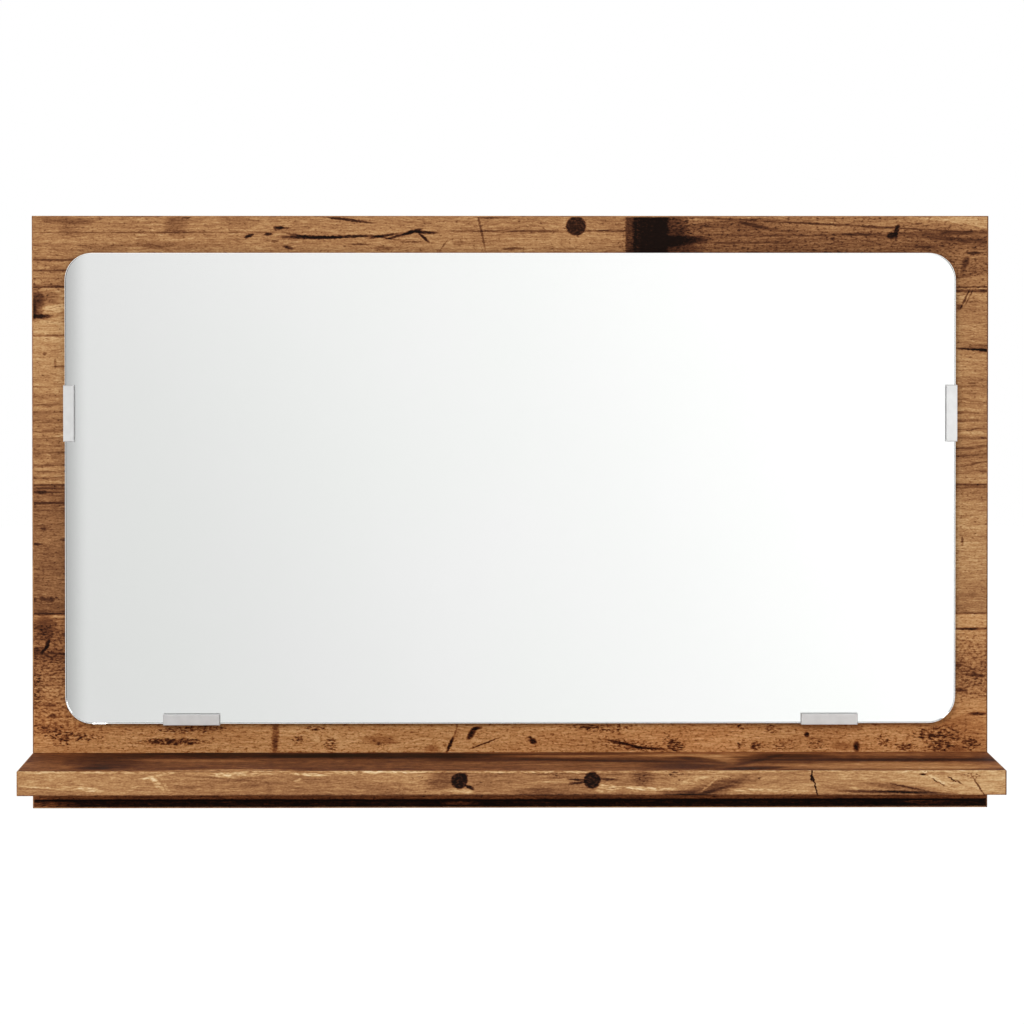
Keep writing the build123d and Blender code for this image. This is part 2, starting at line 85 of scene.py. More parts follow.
# Card behind the camera, which only the mirror sees. Its greys are placed where the pane shows them,
# in millimetres.
CARD_Y = -4.0
CARD_GLOW = 1.045
CARD_SIDE_MARGIN = 0.05
CARD_LEVEL_MARGIN = 0.1
CARD_RISE = 0.45  # millimetres that the grey moves to the right for each millimetre down
CARD_GREY_FROM = -300.0
CARD_GREY_TO = 250.0
CARD_GREYS = ((0.0, 219), (0.2, 226), (0.44, 237), (0.66, 245), (0.78, 250), (0.9, 254), (1.0, 255))
CARD_STRIP_FROM = -281.0
CARD_STRIP_TO = -264.0
CARD_STRIP_SHADE = 0.60

# Sizes that the decor is laid out by
BOARD_TOP = CAD_BOX[1][2]
BOARD_LEFT = CAD_BOX[0][0]
BOARD_LOW, BOARD_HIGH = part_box("back_board")
SHELF_LOW, SHELF_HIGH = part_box("shelf_board")
PAPER = 0.1  # millimetres: deeper than this, a cut shows raw chipboard
OTHER_SIDE = 700.0  # millimetres along the sheet, where no mark lies, for the hidden sides


def srgb(red, green, blue):
    """A colour given as it looks on a screen, 0 to 255, in the linear values that a shader takes."""
    def linear(value):
        share = value / 255
        return share / 12.92 if share <= 0.04045 else ((share + 0.055) / 1.055) ** 2.4
    return (linear(red), linear(green), linear(blue), 1.0)


WHITE = (1.0, 1.0, 1.0, 1.0)
WARM_TINT = (1.0, 0.78, 0.62, 1.0)
SILVER = (0.985, 0.99, 0.985, 1.0)
SILVER_GAP = 0.00003

# The decor's colours by tone, from burnt knots to worn fibres
DECOR_TONES = (
    (0.00, srgb(8, 4, 2)),
    (0.12, srgb(24, 12, 7)),
    (0.22, srgb(53, 29, 18)),
    (0.34, srgb(88, 52, 33)),
    (0.47, srgb(124, 80, 50)),
    (0.60, srgb(162, 114, 74)),
    (0.70, srgb(187, 140, 93)),
    (0.82, srgb(214, 174, 124)),
    (0.95, srgb(238, 210, 166)),
)


class Graph:
    """Adds nodes to a tree. Inputs are plain values or sockets of other nodes."""

    def __init__(self, tree):
        self.tree = tree

    def put(self, socket, value):
        if isinstance(value, bpy.types.NodeSocket):
            self.tree.links.new(value, socket)
        else:
            socket.default_value = value

    def node(self, kind, inputs=None, **settings):
        node = self.tree.nodes.new(kind)
        for name, value in settings.items():
            setattr(node, name, value)
        for name, value in (inputs or {}).items():
            self.put(node.inputs[name], value)
        return node

    def math(self, operation, *values):
        node = self.node("ShaderNodeMath", operation=operation)
        for socket, value in zip(node.inputs, values):
            self.put(socket, value)
        return node.outputs[0]

    def add(self, *values):
        total = values[0]
        for value in values[1:]:
            total = self.math("ADD", total, value)
        return total

    def times(self, *values):
        total = values[0]
        for value in values[1:]:
            total = self.math("MULTIPLY", total, value)
        return total

    def ramp(self, value, low, high, start=0.0, end=1.0, smooth=True):
        """Takes a value from low to high over to start to end, and stays level outside."""
        return self.node(
            "ShaderNodeMapRange",
            {"Value": value, "From Min": low, "From Max": high, "To Min": start, "To Max": end},
            interpolation_type="SMOOTHSTEP" if smooth else "LINEAR",
            clamp=not smooth,
        ).outputs[0]

    def combine(self, x, y, z=0.0):
        return self.node("ShaderNodeCombineXYZ", {"X": x, "Y": y, "Z": z}).outputs[0]

    def shrunk(self, place, sizes):
        """A place as a vector, each part divided by its size."""
        return self.vector("DIVIDE", self.combine(*place), sizes)

    def separate(self, vector):
        return self.node("ShaderNodeSeparateXYZ", {"Vector": vector}).outputs

    def vector(self, operation, *values):
        node = self.node("ShaderNodeVectorMath", operation=operation)
        for socket, value in zip(node.inputs, values):
            self.put(socket, value)
        scalar = operation in ("LENGTH", "DISTANCE", "DOT_PRODUCT")
        return node.outputs["Value" if scalar else "Vector"]

    def noise(self, vector, detail=2.0, roughness=0.5):
        """Noise whose features are about one unit across, near 0.5 on average."""
        return self.node(
            "ShaderNodeTexNoise",
            {"Vector": vector, "Scale": 1.0, "Detail": detail, "Roughness": roughness},
        ).outputs["Fac"]

    def colours(self, value, stops):
        node = self.node("ShaderNodeValToRGB", {"Fac": value})
        elements = node.color_ramp.elements
        while len(elements) < len(stops):
            elements.new(1.0)
        for element, (place, colour) in zip(elements, stops):
            element.position = place
            element.color = colour
        return node.outputs["Color"]

    def mix(self, share, first, second, blend="MIX"):
        node = self.node("ShaderNodeMix", data_type="RGBA", blend_type=blend)
        self.put(node.inputs["Factor"], share)
        self.put(node.inputs[6], first)
        self.put(node.inputs[7], second)
        return node.outputs[2]

    def object_place(self):
        """The point in the frame's millimetres, as x, y and z."""
        coordinates = self.node("ShaderNodeTexCoord").outputs["Object"]
        return self.separate(self.vector("MULTIPLY", coordinates, (1000.0, 1000.0, 1000.0)))

    def bump(self, height, distance, strength):
        return self.node(
            "ShaderNodeBump", {"Height": height, "Distance": distance, "Strength": strength}
        ).outputs["Normal"]


def new_material(name):
    material = bpy.data.materials.new(name)
    material.use_nodes = True
    material.node_tree.nodes.clear()
    return material, Graph(material.node_tree)


def finish_material(graph, inputs, shader="ShaderNodeBsdfPrincipled"):
    surface = graph.node(shader, inputs)
    output = graph.node("ShaderNodeOutputMaterial")
    graph.tree.links.new(surface.outputs[0], output.inputs["Surface"])


# Every row of marks below is one mark on a sheet: place to the right, place down, half length, half
# height, turn in degrees (a positive turn dips to the right), softness of its edge, and how much it
# adds. Tones count from 0, burnt, to 1, bleached.
BOARD_PLANKS = (
    # from the top down: where the plank ends, and its tone
    (44.7, 0.645),
    (168.6, 0.665),
    (249.8, 0.540),
    # the plank above the shelf: a lighter plank, set lighter still with painted light that offsets the
    # shade of the shelf
    (358.0, 0.735),
    # the last two lie under the shelf: the board there is brown, then near black
    (366.8, 0.435),
    (400.0, 0.130),
)
BOARD_TONE_PATCHES = (
    # the darker plank right of the butt joint, with its light upper right corner
    (500.0, 22.0, 127.0, 22.5, 0.0, 0.01, -0.125),
    (545.0, 4.0, 80.0, 6.0, 2.0, 0.6, 0.09),
    (592.0, 3.0, 30.0, 5.0, 0.0, 0.6, 0.03),
    (420.0, 12.0, 45.0, 30.0, 0.0, 0.9, -0.03),
    (596.0, 41.0, 26.0, 6.5, 0.0, 0.5, -0.01),
    (580.0, 13.5, 24.0, 4.0, 3.0, 0.7, -0.04),
    (590.0, 30.0, 14.0, 7.0, 0.0, 0.7, 0.05),
    # top plank, left: soft brown smudges
    (20.0, 3.0, 14.0, 1.8, 4.0, 0.7, -0.14),
    (24.0, 9.0, 5.0, 3.0, 0.0, 0.9, -0.08),
    (30.0, 18.4, 60.0, 1.0, 0.0, 0.9, -0.07),
    (90.0, 6.0, 5.0, 5.0, 0.0, 0.9, -0.13),
    (128.0, 3.5, 8.0, 3.0, 0.0, 0.9, -0.10),
    (76.0, 18.8, 6.0, 1.0, 6.0, 0.8, -0.11),
    (221.0, 20.4, 4.5, 0.9, 0.0, 0.8, -0.16),
    (302.0, 20.6, 5.0, 0.7, 0.0, 0.8, -0.18),
    (268.0, 17.0, 3.0, 1.2, 0.0, 0.8, -0.12),
    # second plank: light below the stain, darker to its lower seam
    (10.0, 72.0, 60.0, 10.0, 0.0, 0.5, 0.03),
    (10.0, 92.0, 60.0, 18.0, 0.0, 0.5, 0.03),
    (10.0, 146.0, 60.0, 26.0, 0.0, 0.8, -0.04),
    (590.0, 160.0, 60.0, 12.0, 0.0, 0.8, -0.12),
    (590.0, 128.0, 60.0, 26.0, 0.0, 0.6, -0.03),
    (590.0, 64.0, 40.0, 16.0, 0.0, 0.6, -0.035),
    (590.0, 152.0, 60.0, 14.0, 0.0, 0.6, -0.035),
    # the stain's soft brown
    (2.0, 55.0, 4.0, 7.0, 0.0, 0.8, -0.28),
    (9.5, 52.0, 5.0, 3.4, 0.0, 0.9, -0.15),
    (16.0, 43.0, 8.0, 1.4, 0.0, 0.8, -0.10),
    # second plank, right: reddish under the seam above, and the shade over its crack
    (590.0, 53.0, 3.0, 1.4, 0.0, 0.8, -0.08),
    (595.0, 82.0, 8.0, 1.2, 0.0, 0.8, -0.14),
    # third plank: red brown at the left, light at the right
    (596.0, 209.0, 190.0, 60.0, 0.0, 0.3, 0.15),
    (580.0, 173.0, 40.0, 5.0, 0.0, 0.3, 0.01),
    (10.0, 170.5, 60.0, 4.0, 0.0, 0.5, 0.03),
    # bottom plank
    # full width just above the shelf: lighter, painted light against the shade the shelf casts
    (300.0, 331.0, 340.0, 12.0, 0.0, 0.3, 0.05),
    (215.0, 331.0, 70.0, 12.0, 0.0, 0.6, 0.03),
    (12.0, 268.0, 34.0, 20.0, 0.0, 0.6, -0.15),
    (12.0, 312.0, 34.0, 22.0, 0.0, 0.6, -0.03),
    (8.0, 257.0, 4.0, 6.0, 0.0, 0.9, -0.16),
    (18.0, 276.0, 30.0, 3.0, 0.0, 0.8, -0.10),
    (594.0, 268.0, 60.0, 22.0, 0.0, 0.8, -0.115),
    (152.2, 327.5, 1.8, 9.0, 2.0, 0.7, -0.28),
    (217.0, 329.0, 7.0, 2.6, 0.0, 0.8, -0.14),
    (251.0, 334.8, 3.6, 1.6, 0.0, 0.8, -0.20),
    (508.0, 333.5, 5.0, 1.6, 0.0, 0.8, -0.16),
    (586.0, 328.0, 12.0, 9.0, 0.0, 0.9, -0.05),
)
BOARD_SPECK_FIELDS = (
    # where near-black specks gather
    (300.0, 332.0, 330.0, 22.0, 0.0, 0.3, 0.04),
    (10.0, 240.5, 22.0, 3.0, 0.0, 0.6, 0.17),
    (22.0, 268.0, 26.0, 4.0, -6.0, 0.6, 0.07),
    (2.0, 296.0, 4.0, 12.0, 0.0, 0.7, 0.19),
    (20.0, 300.0, 26.0, 10.0, 0.0, 0.6, 0.05),
    (11.0, 321.5, 9.0, 2.0, 0.0, 0.6, 0.19),
    (22.0, 326.5, 15.0, 2.6, 3.0, 0.6, 0.22),
    (18.0, 331.0, 6.0, 2.4, 0.0, 0.6, 0.17),
    (60.0, 329.0, 26.0, 5.0, 4.0, 0.6, 0.06),
    (90.0, 330.0, 18.0, 1.9, 0.0, 0.6, 0.27),
    (99.0, 322.3, 20.0, 2.2, -2.0, 0.6, 0.22),
    (166.0, 329.0, 4.0, 2.4, 0.0, 0.6, 0.20),
    (177.0, 322.0, 5.5, 1.6, 0.0, 0.6, 0.23),
    (187.0, 332.0, 3.6, 4.6, 0.0, 0.6, 0.22),
    (219.0, 332.0, 4.0, 1.2, 0.0, 0.6, 0.18),
    (361.0, 322.0, 13.0, 2.6, 0.0, 0.6, 0.20),
    (376.0, 332.5, 20.0, 3.6, 6.0, 0.6, 0.18),
    (345.0, 321.0, 7.0, 1.6, 0.0, 0.6, 0.17),
    (404.5, 333.0, 4.6, 3.4, 0.0, 0.6, 0.28),
    (399.0, 329.0, 3.4, 2.4, 0.0, 0.6, 0.20),
    (445.0, 321.0, 4.0, 1.4, 0.0, 0.6, 0.21),
    (444.6, 332.0, 3.0, 2.4, 0.0, 0.6, 0.20),
    (454.0, 333.2, 3.4, 2.6, 0.0, 0.5, 0.29),
    (464.0, 322.4, 3.4, 2.8, 0.0, 0.6, 0.21),
    (471.0, 333.0, 9.0, 3.0, 0.0, 0.6, 0.16),
    (493.0, 332.0, 6.0, 3.4, 10.0, 0.6, 0.18),
    (535.0, 329.6, 5.0, 3.4, 0.0, 0.6, 0.21),
    (548.6, 334.0, 6.2, 2.2, 0.0, 0.6, 0.27),
    (568.0, 324.0, 15.0, 3.2, -4.0, 0.6, 0.21),
    (568.0, 328.4, 14.0, 2.0, 0.0, 0.6, 0.18),
    (570.0, 333.6, 8.5, 2.8, 0.0, 0.6, 0.28),
    (589.5, 332.5, 5.0, 3.8, 0.0, 0.6, 0.19),
    (592.0, 293.0, 9.0, 3.0, 8.0, 0.7, 0.17),
    (586.0, 329.6, 9.0, 4.0, 0.0, 0.8, 0.08),
    (505.0, 14.0, 120.0, 12.0, 0.0, 0.8, 0.04),
    (560.0, 14.0, 30.0, 4.0, 2.0, 0.8, 0.10),
    (414.0, 12.0, 12.0, 16.0, 0.0, 0.9, 0.12),
    (380.0, 14.0, 8.0, 30.0, 0.0, 0.6, 0.22),
    (402.0, 12.0, 8.0, 16.0, 0.0, 0.9, 0.18),
)
BOARD_MOTTLE_FIELDS = (
    # where the print is broken up into small brown and pale scales
    (300.0, 328.0, 330.0, 14.0, 0.0, 0.3, 0.06),
    (10.0, 290.0, 60.0, 34.0, 0.0, 0.2, 0.13),
    (595.0, 284.0, 50.0, 19.0, 0.0, 0.4, 0.13),
    (590.0, 40.0, 40.0, 14.0, 0.0, 0.6, 0.04),
    (500.0, 20.0, 130.0, 24.0, 0.0, 0.1, 0.05),
    (585.0, 190.0, 40.0, 16.0, 0.0, 0.7, 0.02),
    (10.0, 42.0, 60.0, 8.0, 0.0, 0.7, 0.04),
)
BOARD_BURNS = (
    # near-black knots, blots and streaks
    (341.0, 6.3, 6.2, 6.0, 0.0, 0.10, 0.88),
    (388.0, 12.0, 9.0, 60.0, 0.0, 0.40, 1.25),
    (375.5, 14.0, 3.4, 60.0, 0.0, 0.20, 0.62),
    (401.0, 7.0, 7.0, 9.0, 0.0, 0.80, 0.60),
    (406.0, 15.6, 13.0, 2.4, -2.0, 0.75, 1.00),
    (404.0, 21.0, 12.0, 2.2, 0.0, 0.70, 0.45),
    (539.6, 12.3, 3.4, 2.0, -8.0, 0.35, 0.96),
    (542.3, 8.9, 1.4, 3.2, 20.0, 0.45, 0.95),
    (136.1, 12.5, 2.6, 0.95, -20.0, 0.50, 0.95),
    (148.1, 11.4, 2.2, 0.90, -8.0, 0.55, 0.85),
    (154.5, 7.5, 2.6, 1.0, 0.0, 0.55, 0.90),
    (158.6, 7.6, 3.0, 0.55, 0.0, 0.60, 0.60),
    (152.2, 16.0, 1.9, 0.6, 0.0, 0.70, 0.50),
    (160.3, 19.8, 2.6, 0.85, 12.0, 0.60, 0.75),
    (97.0, 0.8, 2.4, 0.8, 0.0, 0.60, 0.70),
    (175.0, 13.4, 15.0, 0.95, 1.0, 0.60, 0.90),
    (196.0, 13.0, 16.0, 0.75, -1.5, 0.60, 0.90),
    (166.0, 12.0, 6.0, 0.55, 9.0, 0.60, 0.50),
    (197.0, 2.3, 13.5, 0.75, 7.5, 0.60, 0.80),
    (220.0, 12.6, 8.0, 0.7, -9.0, 0.60, 0.80),
    (221.0, 13.8, 6.0, 0.45, 9.0, 0.60, 0.60),
    (231.0, 12.2, 7.0, 0.7, -14.0, 0.60, 0.80),
    (238.5, 9.9, 5.0, 1.0, -16.0, 0.55, 0.90),
    (245.5, 10.2, 7.0, 0.75, 4.0, 0.60, 0.90),
    (245.6, 13.6, 3.8, 0.80, 42.0, 0.60, 0.85),
    (205.0, 17.8, 5.0, 0.5, 0.0, 0.70, 0.60),
    (238.0, 16.4, 5.6, 0.4, 0.0, 0.70, 0.45),
    (586.0, 28.6, 1.5, 2.6, 12.0, 0.80, 0.46),
    (584.2, 33.0, 1.2, 2.2, 14.0, 0.80, 0.40),
    (590.5, 23.3, 3.4, 0.8, 0.0, 0.70, 0.70),
    (560.6, 19.6, 5.5, 0.6, 0.0, 0.80, 0.50),
    (5.0, 63.0, 5.4, 1.1, 0.0, 0.70, 0.95),
    (1.0, 58.0, 1.4, 5.0, 0.0, 0.80, 0.70),
    (5.4, 173.2, 3.4, 0.9, 0.0, 0.70, 0.78),
    (2.0, 205.8, 3.0, 0.6, 0.0, 0.70, 0.62),
    (7.0, 196.2, 1.4, 0.8, 0.0, 0.80, 0.50),
    (19.4, 203.0, 1.6, 0.6, 0.0, 0.80, 0.50),
    (0.4, 240.9, 1.6, 1.2, 0.0, 0.80, 0.60),
    (6.8, 240.1, 2.2, 1.0, 18.0, 0.80, 0.55),
    (11.9, 240.8, 1.5, 1.2, -20.0, 0.80, 0.62),
    (9.6, 268.2, 1.0, 2.8, 18.0, 0.60, 0.90),
    (7.2, 272.4, 0.8, 2.8, 44.0, 0.60, 0.90),
    (2.0, 272.6, 2.4, 1.2, 0.0, 0.70, 0.60),
    (10.6, 307.0, 3.0, 1.0, 0.0, 0.80, 0.45),
    (12.6, 313.6, 1.8, 1.0, 0.0, 0.70, 0.60),
    (262.0, 332.0, 0.95, 4.6, 24.0, 0.50, 0.96),
    (275.4, 325.4, 1.5, 3.6, 34.0, 0.60, 0.92),
    (278.6, 321.8, 2.6, 0.9, -10.0, 0.60, 0.85),
    (284.0, 331.2, 8.4, 0.42, -21.0, 0.60, 0.75),
    (314.0, 330.2, 2.1, 1.6, 20.0, 0.50, 0.96),
    (312.0, 327.6, 1.0, 0.8, 0.0, 0.60, 0.80),
    (371.0, 331.6, 9.6, 0.75, 12.0, 0.60, 0.92),
    (386.0, 334.6, 10.0, 0.7, 3.0, 0.60, 0.90),
    (486.3, 326.0, 1.3, 1.4, 20.0, 0.60, 0.92),
    (517.6, 333.6, 1.7, 2.6, 0.0, 0.60, 0.90),
    (593.6, 313.0, 4.6, 0.9, 0.0, 0.70, 0.80),
    (581.0, 335.0, 4.0, 1.6, 0.0, 0.80, 0.40),
    (580.6, 282.6, 3.6, 0.8, 0.0, 0.70, 0.60),
    (592.0, 288.6, 5.0, 0.9, 4.0, 0.70, 0.60),
    (583.0, 298.0, 3.0, 1.2, 0.0, 0.70, 0.60),
)
BOARD_LINES = (
    # cracks and fine dark grain lines: half heights are well under a millimetre
    (75.0, 10.4, 56.0, 0.40, 0.0, 0.9, 0.42),
    (300.0, 9.6, 34.0, 0.45, 0.0, 0.9, 0.42),
    (360.0, 9.4, 12.5, 0.45, 0.0, 0.9, 0.62),
    (289.0, 1.2, 7.5, 0.50, 0.0, 0.8, 0.60),
    (281.5, 9.2, 0.60, 8.6, -12.0, 0.8, 0.45),
    (258.0, 18.5, 0.40, 3.2, 35.0, 0.8, 0.40),
    (595.0, 84.0, 12.5, 0.65, 3.5, 0.6, 0.95),
    (597.0, 84.4, 5.0, 0.80, 3.5, 0.7, 0.70),
    (585.6, 51.8, 0.50, 5.6, 26.0, 0.7, 0.62),
    (588.0, 51.0, 0.40, 4.6, 26.0, 0.7, 0.45),
    (582.0, 57.0, 1.4, 1.2, 0.0, 0.8, 0.45),
    (12.0, 75.0, 13.0, 0.50, -1.0, 0.8, 0.40),
    (14.6, 92.6, 0.55, 2.2, 0.0, 0.8, 0.40),
    (17.4, 94.4, 3.4, 0.45, 0.0, 0.8, 0.40),
    (8.0, 86.4, 1.0, 0.8, 0.0, 0.8, 0.40),
    (17.0, 27.6, 22.0, 0.5, 0.0, 0.8, 0.36),
    (17.0, 34.2, 22.0, 0.5, 0.0, 0.8, 0.30),
    (8.0, 180.0, 22.0, 0.55, 0.0, 0.8, 0.55),
    (14.0, 171.0, 24.0, 0.45, 0.0, 0.8, 0.40),
    (14.0, 184.8, 24.0, 0.40, 0.0, 0.8, 0.30),
    (14.0, 173.2, 24.0, 0.45, 0.0, 0.8, 0.50),
    (14.0, 274.8, 14.0, 0.40, 0.0, 0.8, 0.50),
    (592.0, 47.0, 24.0, 0.75, 0.0, 0.8, 0.62),
    (590.0, 105.0, 2.2, 0.5, 0.0, 0.8, 0.40),
    (575.0, 259.6, 26.0, 0.50, 0.0, 0.8, 0.52),
    (592.0, 259.4, 9.0, 0.70, 0.0, 0.8, 0.50),
    (584.0, 204.0, 0.6, 2.4, 0.0, 0.8, 0.42),
    (576.0, 225.0, 0.7, 2.6, 0.0, 0.8, 0.42),
    (500.0, 5.4, 66.0, 0.55, 3.0, 0.8, 0.55),
    (452.0, 5.8, 8.0, 0.9, 12.0, 0.8, 0.60),
    (522.0, 11.8, 16.0, 0.6, 1.0, 0.8, 0.60),
    (574.0, 10.6, 27.0, 1.0, -1.0, 0.8, 0.42),
    (581.0, 14.8, 22.0, 1.0, 5.0, 0.8, 0.42),
    (502.0, 14.2, 1.2, 0.8, 0.0, 0.8, 0.60),
    (440.0, 17.0, 30.0, 0.5, 0.0, 0.8, 0.40),
    (470.0, 12.4, 30.0, 0.5, 0.0, 0.8, 0.40),
    (152.2, 332.0, 1.0, 4.6, 4.0, 0.8, 0.22),
    (265.6, 323.4, 0.45, 4.6, 14.0, 0.8, 0.42),
)
BOARD_WORN = (
    # paler, worn places
    (12.0, 58.4, 8.0, 1.8, -6.0, 0.8, 0.14),
    (14.0, 66.6, 12.0, 1.0, 0.0, 0.8, 0.08),
    (18.0, 138.0, 4.0, 1.2, 0.0, 0.7, 0.16),
    (26.0, 121.0, 4.0, 1.0, 0.0, 0.7, 0.12),
    (17.0, 29.0, 5.0, 0.9, 0.0, 0.8, 0.10),
    (14.0, 251.4, 22.0, 0.5, 0.0, 0.8, 0.14),
    (590.0, 70.0, 8.0, 3.0, 0.0, 0.9, 0.06),
    (590.0, 165.6, 20.0, 0.6, 2.0, 0.9, 0.12),
    (588.0, 136.0, 8.0, 0.8, 3.0, 0.9, 0.12),
    (389.0, 4.2, 3.4, 0.8, 0.0, 0.8, 0.30),
    (10.0, 370.0, 12.0, 1.6, 0.0, 0.9, 0.34),
    (268.0, 369.0, 8.0, 1.0, 0.0, 0.9, 0.20),
    (560.0, 368.4, 10.0, 1.0, 0.0, 0.9, 0.16),
)
RING_FIELDS = (
    # where dark growth rings run along the plank
    (12.0, 140.0, 60.0, 30.0, 0.0, 0.5, 1.0),
    (590.0, 146.0, 60.0, 26.0, 0.0, 0.5, 1.1),
    (590.0, 110.0, 60.0, 12.0, 0.0, 0.8, 0.4),
    (12.0, 36.0, 60.0, 12.0, 0.0, 0.5, 0.5),
)
SHELF_TONE_PATCHES = (
    (130.0, 16.0, 62.0, 14.0, 0.0, 0.5, -0.20),
    (225.0, 18.0, 60.0, 13.0, 0.0, 0.5, -0.22),
    (12.0, 66.0, 24.0, 20.0, 0.0, 0.7, 0.10),
    (48.0, 44.0, 19.0, 32.0, 0.0, 0.6, -0.13),
    (98.0, 42.0, 34.0, 6.0, 6.0, 0.7, 0.13),
    (150.0, 58.0, 70.0, 16.0, 0.0, 0.8, 0.04),
    (340.0, 70.0, 90.0, 16.0, 0.0, 0.7, 0.10),
    (365.0, 20.0, 62.0, 7.0, 0.0, 0.7, 0.17),
    (427.0, 40.0, 11.0, 15.0, 0.0, 0.7, 0.28),
    (415.0, 12.0, 30.0, 10.0, 0.0, 0.7, 0.16),
    (540.0, 10.0, 100.0, 9.0, 0.0, 0.7, 0.12),
    (545.0, 72.0, 82.0, 17.0, 0.0, 0.5, 0.26),
    (600.0, 60.0, 12.0, 40.0, 0.0, 0.7, -0.06),
)
SHELF_BURNS = (
    (46.0, 78.0, 9.0, 6.0, 0.0, 0.8, 0.60),
    (110.0, 8.0, 36.0, 5.0, 0.0, 0.8, 0.40),
    (285.0, 36.0, 32.0, 9.0, 0.0, 0.8, 0.40),
    (366.0, 45.0, 44.0, 5.0, 8.0, 0.7, 0.62),
    (300.0, 12.0, 60.0, 3.0, 0.0, 0.8, 0.50),
    (418.0, 42.0, 17.0, 6.0, 55.0, 0.8, 0.55),
    (406.0, 72.0, 17.0, 10.0, 0.0, 0.8, 0.58),
    (447.0, 82.0, 15.0, 6.0, -12.0, 0.8, 0.70),
    (452.0, 44.0, 3.0, 26.0, 30.0, 0.8, 0.40),
    (474.0, 20.0, 18.0, 8.0, 6.0, 0.8, 0.60),
    (536.0, 41.0, 74.0, 6.0, 0.0, 0.7, 0.68),
)
SHELF_WORN = (
    (136.0, 91.0, 28.0, 5.0, 0.0, 0.7, 0.40),
    (84.0, 94.0, 30.0, 2.4, 0.0, 0.8, 0.30),
    (560.0, 80.0, 40.0, 2.4, 0.0, 0.8, 0.14),
    (320.0, 93.0, 90.0, 2.6, 0.0, 0.8, 0.18),
)
FRONT_TONE_PATCHES = (
    (60.0, 7.0, 62.0, 20.0, 0.0, 0.8, -0.015),
    (170.0, 11.0, 60.0, 6.0, 0.0, 0.8, -0.05),
    (318.0, 8.0, 46.0, 20.0, 0.0, 0.8, -0.08),
    (257.0, 5.4, 7.0, 4.0, -10.0, 0.8, -0.15),
    (318.0, 12.6, 12.0, 1.8, 0.0, 0.8, -0.14),
    (379.0, 4.0, 5.0, 4.0, 0.0, 0.8, -0.14),
    (421.0, 11.0, 19.0, 3.0, -15.0, 0.8, -0.22),
    (400.0, 13.6, 8.0, 1.8, 0.0, 0.8, -0.20),
    (540.0, 11.0, 20.0, 1.8, 8.0, 0.8, -0.14),
    (580.0, 6.0, 30.0, 9.0, 0.0, 0.8, 0.10),
    # full width along the lower edge: painted shade
    (300.0, 15.4, 330.0, 1.0, 0.0, 0.6, -0.26),
)
FRONT_SPECK_FIELDS = (
    (245.0, 4.6, 6.0, 1.6, 0.0, 0.7, 0.15),
    (234.0, 12.0, 12.0, 1.2, 0.0, 0.7, 0.13),
    (283.0, 7.8, 5.0, 1.2, 0.0, 0.7, 0.16),
    (325.6, 3.2, 5.0, 1.8, 0.0, 0.7, 0.18),
    (378.6, 4.0, 4.0, 3.2, 0.0, 0.7, 0.18),
    (398.0, 1.8, 4.6, 2.0, 0.0, 0.7, 0.21),
    (419.0, 6.0, 20.0, 5.0, 0.0, 0.7, 0.08),
    (450.0, 5.8, 3.4, 1.4, 0.0, 0.7, 0.17),
    (561.0, 6.0, 12.0, 3.0, 20.0, 0.7, 0.08),
    (579.0, 3.0, 5.0, 1.8, 0.0, 0.7, 0.21),
    (30.0, 6.0, 16.0, 3.0, 0.0, 0.8, 0.06),
    (128.0, 4.0, 26.0, 1.6, 0.0, 0.8, 0.07),
)
FRONT_BURNS = (
    (268.0, 5.9, 4.9, 4.8, 0.0, 0.14, 0.98),
    (271.2, 2.6, 1.4, 1.4, 0.0, 0.70, 0.60),
    (348.4, 5.7, 4.9, 5.0, 0.0, 0.14, 0.96),
    (274.4, 10.0, 2.4, 0.9, 24.0, 0.50, 0.95),
    (339.4, 5.4, 4.8, 0.6, 4.0, 0.60, 0.80),
    (339.6, 7.4, 4.6, 0.6, -6.0, 0.60, 0.75),
    (357.6, 5.2, 4.6, 0.7, 4.0, 0.70, 0.60),
    (525.0, 13.0, 20.0, 0.8, 1.0, 0.80, 0.66),
    (548.0, 13.6, 18.0, 0.7, 2.0, 0.80, 0.42),
    (541.0, 10.4, 11.0, 0.45, 12.0, 0.70, 0.60),
    (549.0, 2.4, 1.9, 0.45, 0.0, 0.60, 0.80),
    (556.6, 6.2, 1.9, 0.35, 34.0, 0.60, 0.75),
    (560.4, 8.2, 1.8, 0.32, 34.0, 0.60, 0.60),
    (567.0, 5.4, 2.4, 0.42, 34.0, 0.60, 0.85),
    (571.0, 7.0, 2.0, 0.36, 34.0, 0.60, 0.70),
    (420.0, 12.6, 10.0, 0.8, -14.0, 0.70, 0.60),
)
FRONT_LINES = (
    (481.6, 2.4, 0.50, 3.4, 4.0, 0.6, 0.95),
    (482.0, 4.8, 0.85, 1.8, -20.0, 0.6, 0.90),
    (484.0, 10.4, 0.45, 4.8, -14.0, 0.6, 0.85),
    (583.0, 9.8, 0.40, 6.4, -33.0, 0.7, 0.60),
    (127.0, 4.6, 28.0, 0.35, 4.3, 0.8, 0.20),
    (12.0, 10.6, 12.0, 0.35, 3.0, 0.8, 0.14),
    (200.0, 1.0, 200.0, 0.30, 0.4, 0.9, 0.20),
)
